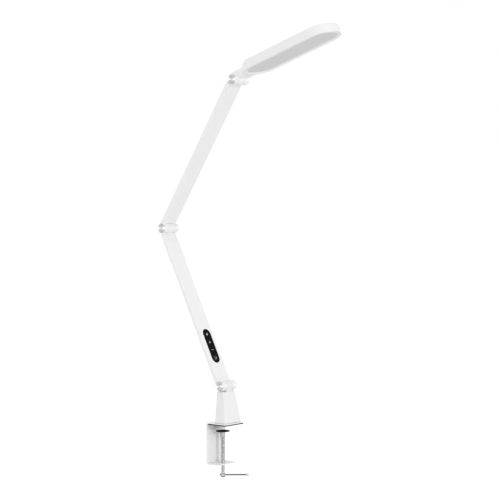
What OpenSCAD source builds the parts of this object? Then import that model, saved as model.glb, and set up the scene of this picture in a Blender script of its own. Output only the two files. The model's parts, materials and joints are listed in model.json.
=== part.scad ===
// Folding LED desk lamp on a screw clamp.
// Origin: on the swivel axis of the column, at the underside of the desk pad, so
// Z = 0 is the desk top. +X points over the desk, the hinge axes run along Y.

/* [Pose] */
// Lean of the lower arm behind the vertical, in degrees
lower_lean = 26.7; // [5:0.1:50]
// Lean of the upper arm in front of the vertical, in degrees
upper_lean = 32.7; // [10:0.1:55]
// Rise of the lamp head above the horizontal, in degrees
head_rise = 18; // [0:0.5:35]
// Direction of the tommy bar around the clamp screw, in degrees from +X
bar_turn = 40; // [0:1:90]

/* [Arms] */
// Length of each arm, from hinge axis to hinge axis
arm_length = 345; // [250:1:420]
// Thickness of each arm
arm_thickness = 9.2; // [8:0.1:12]
// Width of each arm beside the foot hinge or the head hinge
arm_outer_width = 39.4; // [36:0.1:46]
// Width of each arm beside the elbow
arm_elbow_width = 36; // [32:0.1:39]
// Wall of each arm
arm_wall = 1.5; // [1:0.1:2]
// Radius of the long edges of each arm
arm_edge = 1.6; // [1:0.1:2]
// Distance of each arm's front face behind its hinge axes
arm_setback = 0.9; // [0.5:0.1:1.5]
// Reach of the elbow end fittings, from the hinge axis to the arm tube
elbow_fitting = 26; // [20:0.5:32]
// Reach of the foot and head end fittings, from the hinge axis to the arm tube
outer_fitting = 17; // [14:0.5:22]
// Length of each fitting's plug inside the arm tube
plug_length = 24; // [16:0.5:30]
// Step between the arm tube and a fitting, on each side
fitting_step = 0.5; // [0.2:0.1:0.8]
// Clearance of a plug in its tube, on each side
plug_fit = 0.1; // [0.05:0.05:0.2]
// Diameter of the screws that hold the fittings
arm_screw_d = 3; // [2.5:0.5:3.5]

/* [Hinges] */
// Diameter of the hinge knuckles
knuckle_d = 20; // [18:0.2:21]
// Length of each hinge over its outer knuckles
hinge_length = 40; // [38:0.2:46]
// Length of the centre knuckle
centre_length = 16; // [12:0.2:18]
// Thickness of each friction washer
friction_washer = 0.8; // [0.5:0.1:1.2]
// Diameter of the hinge axles
axle_d = 7; // [6:0.1:8]
// Bore of the hinge axles, for the wires
axle_bore = 3.6; // [2.5:0.1:4]
// Running clearance of an axle in its bores, on each side
axle_fit = 0.05; // [0.02:0.01:0.1]
// Gap between a knuckle and the fitting that faces it
knuckle_gap = 0.7; // [0.5:0.1:1.2]
// Depth of the recesses in the ends of each hinge
recess_depth = 4.6; // [4.2:0.1:6]
// Diameter of the spun metal end caps
cap_d = 18.4; // [16.6:0.1:19]
// Thickness of the end caps
cap_t = 0.9; // [0.6:0.1:1.4]

/* [Column] */
// Height of the column body
column_height = 61; // [50:0.5:80]
// Width of the column at its base
column_base_width = 49.6; // [44:0.2:56]
// Width of the column at its top
column_top_width = 36; // [30:0.2:40]
// Reach of the column's base in front of the swivel axis
column_base_front = 18.2; // [14:0.2:22]
// Reach of the column's top in front of the swivel axis
column_top_front = 8; // [6:0.1:10]
// Reach of the column behind the swivel axis
column_rear = 9.4; // [9:0.1:12]
// Wall of the column
column_wall = 2; // [1.5:0.1:2.5]
// Radius of the column's upright edges
column_edge = 2; // [1:0.1:3]
// Radius of the column's upper edge
column_top_edge = 1; // [0.4:0.1:1.5]
// Thickness of the column's floor plate
floor_t = 4; // [3:0.1:6]
// Diameter of the swivel bolt
swivel_d = 6; // [5:0.5:6]
// Thickness of the slip washer under the column
slip_washer = 0.6; // [0.4:0.1:1]
// Diameter of the power inlet's barrel
inlet_d = 8; // [7:0.1:9]
// Length of the power inlet
inlet_len = 12; // [10:0.5:15]
// Side of the square seat behind the power inlet
inlet_seat = 13; // [12:0.5:16]

/* [Touch panel] */
// Length of the touch panel
panel_length = 72.6; // [60:0.2:90]
// Width of the touch panel
panel_width = 21.4; // [18:0.2:24]
// Distance from the foot hinge axis to the middle of the touch panel
panel_place = 85.7; // [80:0.1:120]
// Height of the panel's face above the arm
panel_proud = 0.2; // [0.1:0.05:0.4]
// Thickness of the touch board
board_t = 1.6; // [1:0.1:2]

/* [Head] */
// Length of the lamp head
head_length = 224.5; // [180:0.5:280]
// Width of the lamp head
head_width = 75; // [66:0.5:90]
// Thickness of the lamp head
head_thickness = 18; // [16.5:0.1:24]
// Distance from the head hinge axis to the lamp head
head_reach = 27; // [24:0.5:36]
// Wall of the head's shell
shell_wall = 2; // [1.6:0.1:2.4]
// Radius of the shell's upper edge
shell_edge = 5; // [3:0.1:6]
// Width of the light window
window_width = 60; // [52:0.5:62]
// Thickness of the frame around the light window
frame_t = 1.8; // [1.4:0.1:2.4]
// How far the frame's edge slopes back around the window
window_bevel = 1.3; // [0.6:0.1:1.8]
// Height of the frame's collar above the frame
collar_height = 5; // [3.5:0.1:5.5]
// Thickness of the diffuser
diffuser_t = 2; // [1.5:0.1:2.2]
// Clearance between the shell, the frame and the diffuser
head_fit = 0.15; // [0.05:0.05:0.3]
// Width of the neck
neck_width = 37; // [34:0.2:37]
// Height of the neck's upper face above the hinge axis
neck_top = 12.4; // [11.8:0.1:13]
// Width of the LED board
led_board_width = 46; // [36:1:46]
// Number of light-emitting diodes in each row
led_count = 16; // [8:1:20]
// Length of each light-emitting diode
led_length = 3.5; // [2.8:0.1:5]
// Width of each light-emitting diode
led_width = 2.8; // [2:0.1:3.5]
// Height of each light-emitting diode
led_height = 0.8; // [0.5:0.1:1.2]
// Distance from the ends of the LED board to the first and the last diode
led_margin = 17; // [12:0.5:25]
// Length of the neck's tenon inside the head
tenon_length = 20; // [16:0.5:24]
// Width of the neck's tenon
tenon_width = 24; // [21:0.5:30]

/* [Clamp] */
// Width of the clamp bracket
bracket_width = 55.2; // [50:0.2:60]
// Reach of the bracket's top plate in front of the swivel axis
plate_front = 21.2; // [18:0.2:30]
// Reach of the bracket behind the swivel axis
bracket_rear = 28.1; // [26:0.1:34]
// Thickness of the bracket's steel
steel_t = 2; // [1.6:0.1:3]
// Outer radius of the bracket's bends
bend_r = 4; // [3.6:0.1:5]
// Height of the bracket below the desk top
bracket_drop = 79; // [70:0.5:100]
// Reach of the lower flange in front of the swivel axis
flange_front = 2.8; // [1:0.2:12]
// Corner radius of the lower flange
flange_corner = 4; // [2:0.2:6]
// Thickness of the desk pad
pad_t = 2; // [1.6:0.1:3]
// Diameter of the clamp screw
screw_d = 8; // [6:0.5:10]
// Distance of the clamp screw behind the swivel axis
screw_back = 8.8; // [7:0.1:11]
// Running clearance of the clamp screw, on each side
screw_fit = 0.05; // [0.02:0.01:0.1]
// Distance from the desk pad to the pressure disc, which sets how far the screw is turned in
jaw_gap = 13; // [10:0.5:40]
// Diameter of the pressure disc
disc_d = 27; // [22:0.5:32]
// Thickness of the pressure disc
disc_t = 1.8; // [1.6:0.1:3]
// Diameter of the pressure disc's socket
socket_d = 10; // [9.6:0.1:12]
// Length of the pressure disc's socket
socket_length = 12.4; // [11:0.1:14]
// Length of the clamp screw from its shoulder to the end of its eye
screw_length = 78.3; // [76:0.1:110]
// Diameter of the eye at the foot of the screw
eye_d = 9.4; // [9:0.1:13]
// Diameter of the tommy bar
bar_d = 3; // [2.5:0.1:4]
// Length of the tommy bar from the screw's axis to its capped end
bar_reach = 51.4; // [40:0.2:70]

/* [Hidden] */

$fn = 64;
eps = 0.01;

// ---- levels and places that follow from the sizes ----
plate_top = pad_t + steel_t;
column_foot = plate_top + slip_washer;
column_top = column_foot + column_height;
knuckle_r = knuckle_d / 2;
pivot_z = column_top + knuckle_r + knuckle_gap + 0.1;
foot_at = [0, 0, pivot_z];
elbow_at = foot_at + arm_length * [-sin(lower_lean), 0, cos(lower_lean)];
wrist_at = elbow_at + arm_length * [sin(upper_lean), 0, cos(upper_lean)];

arm_front = -arm_setback;
arm_back = arm_front - arm_thickness;
arm_mid = (arm_front + arm_back) / 2;
// Half width of an arm at a distance from its outer hinge
function arm_half(s) = (arm_outer_width + (arm_elbow_width - arm_outer_width) * s / arm_length) / 2;
fork_in = centre_length / 2 + friction_washer;
hinge_half = hinge_length / 2;
recess_r = cap_d / 2 - 1.1;
nut_across = axle_d + 4;
axle_flange_r = recess_r - 1.2;

screw_r = screw_d / 2;
disc_top = -jaw_gap;
disc_under = disc_top - disc_t;
socket_foot = disc_under - socket_length;
shoulder_z = socket_foot - screw_fit;
eye_foot = shoulder_z - screw_length;
eye_height = eye_d;
bar_z = eye_foot + eye_height / 2 + 0.2;

stub_r = 2.5;
stub_head_r = 3.3;

head_r = head_width / 2;
cap_near = head_reach + head_r;
cap_far = head_reach + head_length - head_r;
window_r = window_width / 2;
window_land = 0.3;
shell_in = head_r - shell_wall;
frame_r = shell_in - head_fit;
collar_in = frame_r - 2;
diffuser_r = collar_in - head_fit;
collar_top = frame_t + collar_height;
shell_roof = head_thickness - shell_wall;
tenon_foot = collar_top + 0.6;
tenon_top = tenon_foot + 4.6;
tenon_half = tenon_width / 2;
tenon_end = head_reach + tenon_length;
board_near = tenon_end + 3;
board_far = cap_far + led_board_width / 4;
board_z = shell_roof - 5;
led_board_t = 1.4;

// ---- shapes used more than once ----
// Stadium in the XY plane from x = a to x = b with half width r
module stadium(a, b, r) {
    translate([a + r, -r]) square([b - a - 2 * r, 2 * r]);
    translate([a + r, 0]) circle(r);
    translate([b - r, 0]) circle(r);
}
// Rounded rectangle from corner p to corner q
module rounded(p, q, r) {
    translate([p[0] + r, p[1]]) square([q[0] - p[0] - 2 * r, q[1] - p[1]]);
    translate([p[0], p[1] + r]) square([q[0] - p[0], q[1] - p[1] - 2 * r]);
    for (x = [p[0] + r, q[0] - r], y = [p[1] + r, q[1] - r]) translate([x, y]) circle(r);
}
// Turns a shape drawn about +Z so that its axis runs along -Y or +Y
module along_y(side) { rotate([-90 * side, 0, 0]) children(); }
// Ring from z = a to z = b, with its outer edge at b rounded
module knuckle_ring(a, b, r_in, edge) {
    rotate_extrude($fn = 96) {
        translate([r_in, a]) square([knuckle_r - edge - r_in, b - a]);
        translate([knuckle_r - edge - eps, a]) square([edge + eps, b - a - edge]);
        intersection() {
            translate([knuckle_r - edge, b - edge]) circle(edge);
            translate([knuckle_r - edge - eps, b - edge - eps]) square([edge + 2 * eps, edge + 2 * eps]);
        }
    }
}
// The two outer knuckles of a hinge
module outer_knuckles() {
    for (side = [-1, 1]) along_y(side) difference() {
        knuckle_ring(fork_in, hinge_half, axle_d / 2 + axle_fit, 1.2);
        translate([0, 0, hinge_half - recess_depth]) cylinder(r = recess_r, h = recess_depth + 1, $fn = 96);
    }
}
// The centre knuckle of a hinge
module centre_knuckle() {
    along_y(1) translate([0, 0, -centre_length / 2]) difference() {
        cylinder(r = knuckle_r, h = centre_length, $fn = 96);
        translate([0, 0, -1]) cylinder(r = axle_d / 2 + axle_fit, h = centre_length + 2);
    }
}
// Hollow axle with its flange on the -Y side
module axle() {
    seat = hinge_half - recess_depth;
    along_y(-1) difference() {
        union() {
            translate([0, 0, -seat - 2.8]) cylinder(r = axle_d / 2, h = 2 * seat + 2.8 + eps);
            translate([0, 0, seat]) cylinder(r = axle_flange_r, h = 2);
        }
        translate([0, 0, -hinge_length]) cylinder(r = axle_bore / 2, h = 2 * hinge_length);
    }
}
// Hexagonal nut on the axle's +Y end
module axle_nut() {
    seat = hinge_half - recess_depth;
    along_y(1) translate([0, 0, seat]) difference() {
        cylinder(r = nut_across / 2 / cos(30), h = 2.4, $fn = 6);
        translate([0, 0, -1]) cylinder(r = axle_d / 2 + 0.02, h = 5);
    }
}
// Friction washers on both sides of the centre knuckle
module friction_washers() {
    for (side = [-1, 1]) along_y(side) translate([0, 0, centre_length / 2]) difference() {
        cylinder(r = knuckle_r - 0.6, h = friction_washer);
        translate([0, 0, -1]) cylinder(r = axle_d / 2 + axle_fit, h = friction_washer + 2);
    }
}
// Spun end caps with a rim that presses into the recess
module end_caps() {
    for (side = [-1, 1]) along_y(side) translate([0, 0, hinge_half]) rotate_extrude($fn = 96)
        polygon([[0, 0], [recess_r - 1, 0], [recess_r - 1, -1.2], [recess_r - 0.03, -1.2], [recess_r - 0.03, 0],
            [cap_d / 2, 0], [cap_d / 2, cap_t - 0.35], [cap_d / 2 - 0.35, cap_t], [0, cap_t]]);
}
// Room for the caps and for a turning neighbour beyond the two ends of a hinge
module cap_room() {
    for (side = [-1, 1]) along_y(side) translate([0, 0, hinge_half]) cylinder(r = knuckle_r + knuckle_gap, h = hinge_half, $fn = 96);
}
// End fitting of an arm. The hinge axis is at the origin and the arm runs along +Z.
// kind 0 is a fork with two outer knuckles, kind 1 a centre knuckle. reach is
// where the tube starts, half the fitting's half width, plug_half the plug's.
module end_fitting(kind, reach, half, plug_half) {
    root = knuckle_r + knuckle_gap;
    inner = kind == 0 ? [fork_in, half] : [0, centre_length / 2];
    difference() {
        union() {
            if (kind == 0) outer_knuckles(); else centre_knuckle();
            for (side = [-1, 1])
                translate([arm_back + fitting_step / 2, side < 0 ? -inner[1] : inner[0], 0])
                    cube([arm_thickness - fitting_step, inner[1] - inner[0], root + eps]);
            if (kind == 1) translate([arm_back + fitting_step / 2, -1, 0]) cube([arm_thickness - fitting_step, 2, root + eps]);
            translate([0, 0, root]) linear_extrude(reach - root)
                rounded([arm_back + fitting_step / 2, -half], [arm_front - fitting_step / 2, half], arm_edge - fitting_step / 2);
            translate([arm_back + arm_wall + plug_fit, -plug_half, reach - eps])
                cube([arm_thickness - 2 * arm_wall - 2 * plug_fit, 2 * plug_half, plug_length + eps]);
        }
        // bores for the axle, recesses for its ends
        along_y(1) translate([0, 0, -hinge_length]) cylinder(r = axle_d / 2 + axle_fit, h = 2 * hinge_length);
        if (kind == 0) for (side = [-1, 1]) along_y(side)
            translate([0, 0, hinge_half - recess_depth]) cylinder(r = recess_r, h = recess_depth + 1, $fn = 96);
        cap_room();
        // channel for the wires
        translate([arm_mid - 2, -2.5, knuckle_r - 1.5]) cube([4, 5, reach + plug_length]);
        // threads of the tube's screws
        for (y = [-1, 1]) translate([arm_back - 1, y * plug_half * 0.55, reach + plug_length / 2])
            rotate([0, 90, 0]) cylinder(r = arm_screw_d / 2 + 0.02, h = arm_thickness - arm_wall);
    }
}
// Tapered arm tube from s = a to s = b. flip = 1 when the elbow is at s = 0.
module arm_tube(a, b, flip) {
    function half(s) = arm_half(flip == 1 ? arm_length - s : s);
    wall_in = arm_wall;
    difference() {
        hull() for (s = [a, b - eps]) translate([0, 0, s]) linear_extrude(eps)
            rounded([arm_back, -half(s)], [arm_front, half(s)], arm_edge, $fn = 32);
        translate([arm_front - wall_in, 0, 0]) rotate([0, -90, 0]) linear_extrude(arm_thickness - 2 * wall_in)
            polygon([[a - 1, -half(a - 1) + wall_in], [b + 1, -half(b + 1) + wall_in], [b + 1, half(b + 1) - wall_in], [a - 1, half(a - 1) - wall_in]]);
        children();
    }
}
function plug_half(s) = arm_half(s) - arm_wall - plug_fit;
// Half widths of the plugs at the foot or head end and at the elbow end
outer_plug = plug_half(outer_fitting + plug_length);
elbow_plug = plug_half(arm_length - elbow_fitting);
// Screws of one end at distance s, given the plug's half width
module tube_screws(s, half) {
    for (y = [-1, 1]) translate([arm_back, y * half * 0.55, s]) rotate([0, 90, 0]) union() {
        cylinder(r1 = arm_screw_d, r2 = arm_screw_d / 2, h = arm_wall, $fn = 48);
        cylinder(r = arm_screw_d / 2, h = arm_wall + 4.4, $fn = 32);
    }
}
module tube_screw_holes(s, half) {
    for (y = [-1, 1]) translate([arm_back, y * half * 0.55, s]) rotate([0, 90, 0]) {
        translate([0, 0, -eps]) cylinder(r1 = arm_screw_d + 0.06, r2 = arm_screw_d / 2 + 0.04, h = arm_wall + 2 * eps, $fn = 48);
    }
}
module at_lower() { translate(foot_at) rotate([0, -lower_lean, 0]) children(); }
module at_upper() { translate(elbow_at) rotate([0, upper_lean, 0]) children(); }
module at_head() { translate(wrist_at) rotate([0, -head_rise, 0]) children(); }
// From the far end of an arm, looking back along it
module at_far_end() { translate([0, 0, arm_length]) mirror([0, 0, 1]) children(); }

// ---- clamp ----
// Side outline of the bent bracket in X and Z
module bracket_outline() {
    module block(inset, front) {
        r = bend_r - inset;
        a = -bracket_rear + inset;
        lo = -bracket_drop + inset;
        hi = plate_top - inset;
        translate([a + r, lo]) square([front - a - r, hi - lo]);
        translate([a, lo + r]) square([r + eps, hi - lo - 2 * r]);
        translate([a + r, lo + r]) circle(r);
        translate([a + r, hi - r]) circle(r);
    }
    difference() {
        intersection() {
            block(0, plate_front + 1);
            union() {
                translate([-bracket_rear - 1, -bracket_drop / 2]) square([bracket_rear + plate_front + 1, bracket_drop]);
                translate([-bracket_rear - 1, -bracket_drop - 1]) square([bracket_rear + flange_front + 1, bracket_drop / 2 + 1 + eps]);
            }
        }
        block(steel_t, plate_front + 2);
    }
}
module clamp_bracket() {
    half = bracket_width / 2;
    color("whitesmoke") difference() {
        intersection() {
            translate([0, half, 0]) rotate([90, 0, 0]) linear_extrude(bracket_width) bracket_outline();
            union() {
                translate([0, 0, -bracket_drop / 2]) linear_extrude(bracket_drop)
                    rounded([-bracket_rear - 9, -half], [plate_front, half], 1.5);
                translate([0, 0, -bracket_drop - 1]) linear_extrude(bracket_drop / 2 + 1 + eps)
                    rounded([-bracket_rear - 9, -half], [flange_front, half], flange_corner);
            }
        }
        translate([0, 0, 0]) cylinder(r = swivel_d / 2 + 0.02, h = plate_top + 1);
        translate([-screw_back, 0, -bracket_drop - 1]) cylinder(r = screw_r + screw_fit, h = steel_t + 2);
    }
}
bolt_head_t = 1.2;
module desk_pad() {
    half = bracket_width / 2;
    color("black") difference() {
        linear_extrude(pad_t) rounded([-bracket_rear + bend_r + 0.2, -half], [plate_front, half], 1.5);
        translate([0, 0, pad_t - bolt_head_t - 0.05]) cylinder(r = swivel_d + 1.3, h = bolt_head_t + 1);
    }
}
nut_h = 5.6;
spring_t = 1.4;
module swivel_bolt() {
    color("silver") union() {
        translate([0, 0, pad_t - bolt_head_t]) cylinder(r = swivel_d + 1, h = bolt_head_t);
        translate([0, 0, pad_t - eps]) cylinder(r = swivel_d / 2, h = steel_t + slip_washer + floor_t + spring_t + nut_h + 1);
    }
}
module slip_washer_disc() {
    color("ivory") translate([0, 0, plate_top]) difference() {
        cylinder(r = column_rear - 0.2, h = slip_washer);
        translate([0, 0, -1]) cylinder(r = swivel_d / 2 + 0.05, h = slip_washer + 2);
    }
}
module at_screw() { translate([-screw_back, 0, 0]) children(); }
cup_t = disc_t / 2;
cup_r = disc_d * 0.3;
module pressure_disc() {
    color("black") at_screw() translate([0, 0, disc_under]) difference() {
        rotate_extrude($fn = 96) polygon([[0, 0], [disc_d / 2 - 0.4, 0], [disc_d / 2, 0.4], [disc_d / 2, disc_t - 0.4], [disc_d / 2 - 0.4, disc_t], [0, disc_t]]);
        translate([0, 0, -1]) cylinder(r = cup_r + 0.03, h = cup_t + 1);
    }
}
stub_length = socket_length - 3.4;
module pressure_cup() {
    color("silver") at_screw() rotate_extrude($fn = 64) polygon([
        [stub_r + screw_fit, socket_foot], [socket_d / 2 - 0.4, socket_foot], [socket_d / 2, socket_foot + 0.4],
        [socket_d / 2, disc_under], [cup_r, disc_under], [cup_r, disc_under + cup_t], [0, disc_under + cup_t],
        [0, disc_under - 0.9], [stub_head_r + 0.1, disc_under - 0.9],
        [stub_head_r + 0.1, shoulder_z + stub_length - screw_fit], [stub_r + screw_fit, shoulder_z + stub_length - screw_fit]]);
}
module clamp_screw() {
    color("silver") at_screw() difference() {
        union() {
            rotate_extrude($fn = 64) polygon([
                [0, eye_foot + eye_height - 1], [screw_r, eye_foot + eye_height - 1], [screw_r, shoulder_z - 0.6],
                [screw_r - 0.6, shoulder_z], [stub_r, shoulder_z], [stub_r, shoulder_z + stub_length],
                [stub_head_r, shoulder_z + stub_length], [stub_head_r, shoulder_z + stub_length + 1.6], [0, shoulder_z + stub_length + 1.6]]);
            rotate_extrude($fn = 64) intersection() {
                translate([0, eye_foot + eye_height / 2]) union() {
                    square([eye_d / 2, eye_height - 2 * 2.2], center = false);
                    translate([0, -(eye_height - 2 * 2.2)]) square([eye_d / 2, eye_height - 2 * 2.2]);
                    square([eye_d / 2 - 2.2, eye_height / 2]);
                    translate([0, -eye_height / 2]) square([eye_d / 2 - 2.2, eye_height / 2]);
                    for (z = [-1, 1]) translate([eye_d / 2 - 2.2, z * (eye_height / 2 - 2.2)]) circle(2.2);
                }
                translate([0, eye_foot]) square([eye_d, eye_height]);
            }
        }
        translate([0, 0, bar_z]) rotate([0, 0, bar_turn]) rotate([0, 90, 0]) translate([0, 0, -eye_d]) cylinder(r = bar_d / 2 + screw_fit, h = 2 * eye_d);
    }
}
bar_cap_l = 5.4;
module along_bar() { at_screw() translate([0, 0, bar_z]) rotate([0, 0, bar_turn]) rotate([0, 90, 0]) children(); }
module tommy_bar() {
    color("silver") along_bar() rotate_extrude($fn = 48) polygon([
        [0, -eye_d / 2 - 1.6], [bar_d / 2 + 0.2, -eye_d / 2 - 1.6], [bar_d / 2 + 0.6, -eye_d / 2 - 1.2], [bar_d / 2 + 0.6, -eye_d / 2 - 0.3],
        [bar_d / 2, -eye_d / 2 - 0.3], [bar_d / 2, bar_reach - 1.6], [0, bar_reach - 1.6]]);
}
module tommy_bar_cap() {
    r = bar_d / 2 + 0.75;
    color("dimgray") along_bar() rotate_extrude($fn = 48) polygon([
        [bar_d / 2 + 0.01, bar_reach - bar_cap_l], [r - 0.3, bar_reach - bar_cap_l], [r, bar_reach - bar_cap_l + 0.3], [r, bar_reach - 0.8],
        [r - 0.8, bar_reach], [0, bar_reach], [0, bar_reach - 1.55], [bar_d / 2 + 0.01, bar_reach - 1.55]]);
}

// ---- column ----
// Reach in front and half width of the column's outside at height z above its foot
function col_front(z) = column_base_front + (column_top_front - column_base_front) * z / column_height;
function col_half(z) = (column_base_width + (column_top_width - column_base_width) * z / column_height) / 2;
module column_slice(z, inset, r) {
    translate([0, 0, column_foot + z]) linear_extrude(eps)
        rounded([-column_rear + inset, -col_half(z) + inset], [col_front(z) - inset, col_half(z) - inset], r, $fn = 32);
}
post_x = 0;
post_r = 3.4;
function post_y() = col_half(0) - column_wall - 4.6;
post_z = floor_t + 0.1;
post_h = 12;
inlet_z = column_foot + floor_t + spring_t + nut_h + 9;
module column_shell() {
    color("white") difference() {
        union() {
            difference() {
                hull() {
                    column_slice(0, 0, column_edge);
                    for (a = [0:18:90]) column_slice(column_height - column_top_edge * (1 - sin(a)) - eps, column_top_edge * (1 - cos(a)), column_edge);
                }
                hull() { column_slice(-eps, column_wall, 0.6); column_slice(column_height - column_wall, column_wall, 0.6); }
            }
            // posts for the floor's screws, each on a rib to the wall
            for (y = [-1, 1]) translate([(column_base_front - column_rear) / 2, y * post_y(), column_foot + post_z]) {
                cylinder(r = post_r, h = post_h);
                translate([-1, y > 0 ? 0 : -5, 0]) cube([2, 5, post_h - 1]);
            }
            // stem of the centre knuckle
            translate([-column_rear, -centre_length / 2, column_top - eps]) cube([column_rear + column_top_front, centre_length, pivot_z - column_top + eps]);
            translate(foot_at) centre_knuckle();
            // seat of the power inlet
            translate([-column_rear + column_wall - eps, -inlet_seat / 2, inlet_z - inlet_seat / 2]) cube([1.2, inlet_seat, inlet_seat]);
        }
        translate(foot_at) along_y(1) translate([0, 0, -hinge_length]) cylinder(r = axle_d / 2 + axle_fit, h = 2 * hinge_length);
        for (y = [-1, 1]) translate([(column_base_front - column_rear) / 2, y * post_y(), column_foot + post_z - 1]) cylinder(r = 1.5 + 0.02, h = 9);
        translate([-column_rear - 1, 0, inlet_z]) rotate([0, 90, 0]) cylinder(r = inlet_d / 2 + 0.05, h = 8);
        // way up for the wires
        translate([-2.5, -2.5, column_top - column_wall - 1]) cube([5, 5, pivot_z - column_top - axle_d / 2 + column_wall + 2]);
    }
}
module column_floor() {
    fit = 0.15;
    color("silver") difference() {
        hull() {
            column_slice(0, column_wall + fit, 0.6);
            column_slice(floor_t - eps, column_wall + fit, 0.6);
        }
        translate([0, 0, column_foot - 1]) cylinder(r = swivel_d / 2 + 0.05, h = floor_t + 2);
        for (y = [-1, 1]) translate([(column_base_front - column_rear) / 2, y * post_y(), column_foot]) {
            translate([0, 0, -1]) cylinder(r = 1.7, h = floor_t + 2);
            translate([0, 0, -eps]) cylinder(r1 = 3.06, r2 = 1.56, h = 1.5, $fn = 48);
        }
    }
}
module column_screws() {
    color("silver") for (y = [-1, 1]) translate([(column_base_front - column_rear) / 2, y * post_y(), column_foot]) union() {
        cylinder(r1 = 3, r2 = 1.5, h = 1.5, $fn = 48);
        cylinder(r = 1.5, h = post_z + 7, $fn = 32);
    }
}
module swivel_spring() {
    color("silver") translate([0, 0, column_foot + floor_t]) difference() {
        cylinder(r = swivel_d, h = spring_t);
        translate([0, 0, -1]) cylinder(r = swivel_d / 2 + 0.05, h = spring_t + 2);
    }
}
module swivel_nut() {
    color("silver") translate([0, 0, column_foot + floor_t + spring_t]) difference() {
        cylinder(r = swivel_d * 0.83 / cos(30), h = nut_h, $fn = 6);
        translate([0, 0, -1]) cylinder(r = swivel_d / 2 + 0.02, h = nut_h + 2);
    }
}
module power_inlet() {
    wall = column_wall + 1.2;
    color("black") translate([-column_rear, 0, inlet_z]) rotate([0, 90, 0]) difference() {
        union() {
            cylinder(r = inlet_d / 2, h = wall + eps);
            translate([0, 0, wall]) cylinder(r = inlet_d / 2 + 1.6, h = inlet_len - wall);
        }
        difference() {
            translate([0, 0, -1]) cylinder(r = 2.75, h = inlet_len - 1);
            translate([0, 0, 0.8]) cylinder(r = 1, h = inlet_len);
        }
    }
}
wire_d = 2.4;
// Ball over a bend in a wire, a little larger so that it covers the ends of both runs
module wire_bend() { sphere(r = wire_d / 2 + 0.2, $fn = 32); }
module column_wire() {
    x = -column_rear + inlet_len;
    top = column_top - column_wall;
    color("white") union() {
        translate([x, 0, inlet_z]) rotate([0, 90, 0]) cylinder(r = wire_d / 2, h = 2, $fn = 32);
        translate([x + 2, 0, inlet_z]) wire_bend();
        translate([x + 2, 0, inlet_z]) rotate([0, -atan2(x + 2, top - 4 - inlet_z), 0])
            cylinder(r = wire_d / 2, h = norm([x + 2, top - 4 - inlet_z]), $fn = 32);
        translate([0, 0, top - 4]) wire_bend();
        translate([0, 0, top - 4]) cylinder(r = wire_d / 2, h = pivot_z - axle_d / 2 - 1.5 - top + 4, $fn = 32);
    }
}

// ---- lower arm ----
function screw_at(reach) = reach + plug_length / 2;
lower_a = outer_fitting;
lower_b = arm_length - elbow_fitting;
module lower_arm_tube() {
    color("white") at_lower() arm_tube(lower_a, lower_b, 0) {
        union() {
            // window of the touch panel
            translate([arm_front - arm_wall - 1, 0, panel_place]) rotate([0, 90, 0])
                linear_extrude(arm_wall + 2) stadium(-panel_length / 2 - 0.05, panel_length / 2 + 0.05, panel_width / 2 + 0.05);
            tube_screw_holes(screw_at(outer_fitting), outer_plug);
            tube_screw_holes(arm_length - screw_at(elbow_fitting), elbow_plug);
        }
    }
}
// Half width of a fitting and of its plug, from where they stand on the arm
function fit_half(s) = arm_half(s) - fitting_step;
module lower_foot_fork() {
    color("white") at_lower() end_fitting(0, outer_fitting, fit_half(outer_fitting), outer_plug);
}
module lower_elbow_knuckle() {
    color("white") at_lower() at_far_end() end_fitting(1, elbow_fitting, fit_half(arm_length), elbow_plug);
}
module lower_arm_screws() {
    color("silver") at_lower() {
        tube_screws(screw_at(outer_fitting), outer_plug);
        tube_screws(arm_length - screw_at(elbow_fitting), elbow_plug);
    }
}
module foot_axle() { color("silver") at_lower() axle(); }
module foot_nut() { color("silver") at_lower() axle_nut(); }
module foot_washers() { color("ivory") at_lower() friction_washers(); }
module foot_caps() { color("silver") at_lower() end_caps(); }
module touch_panel() {
    color("black") at_lower() translate([arm_front - arm_wall, 0, panel_place]) rotate([0, 90, 0])
        linear_extrude(arm_wall + panel_proud) stadium(-panel_length / 2, panel_length / 2, panel_width / 2);
}
module touch_board() {
    color("green") at_lower() translate([arm_front - arm_wall - board_t, -panel_width / 2 - 1.5, panel_place - panel_length / 2 - 1.5])
        cube([board_t, panel_width + 3, panel_length + 3]);
}
module arm_wire(a, b) {
    color("white") translate([arm_mid - 2 + wire_d / 2 + 0.1, 0, a]) cylinder(r = wire_d / 2, h = b - a, $fn = 32);
}
module lower_arm_wire() {
    at_lower() arm_wire(outer_fitting + plug_length * 0.2, arm_length - elbow_fitting - plug_length * 0.2);
}

// ---- upper arm ----
module upper_arm_tube() {
    color("white") at_upper() arm_tube(elbow_fitting, arm_length - outer_fitting, 1) {
        union() {
            tube_screw_holes(screw_at(elbow_fitting), elbow_plug);
            tube_screw_holes(arm_length - screw_at(outer_fitting), outer_plug);
        }
    }
}
module upper_elbow_fork() {
    color("white") at_upper() end_fitting(0, elbow_fitting, fit_half(arm_length), elbow_plug);
}
module upper_head_knuckle() {
    color("white") at_upper() at_far_end() end_fitting(1, outer_fitting, fit_half(outer_fitting), outer_plug);
}
module upper_arm_screws() {
    color("silver") at_upper() {
        tube_screws(screw_at(elbow_fitting), elbow_plug);
        tube_screws(arm_length - screw_at(outer_fitting), outer_plug);
    }
}
module elbow_axle() { color("silver") at_upper() axle(); }
module elbow_nut() { color("silver") at_upper() axle_nut(); }
module elbow_washers() { color("ivory") at_upper() friction_washers(); }
module elbow_caps() { color("silver") at_upper() end_caps(); }
module upper_arm_wire() {
    at_upper() arm_wire(elbow_fitting + plug_length * 0.2, arm_length - outer_fitting - plug_length * 0.2);
}

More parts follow.
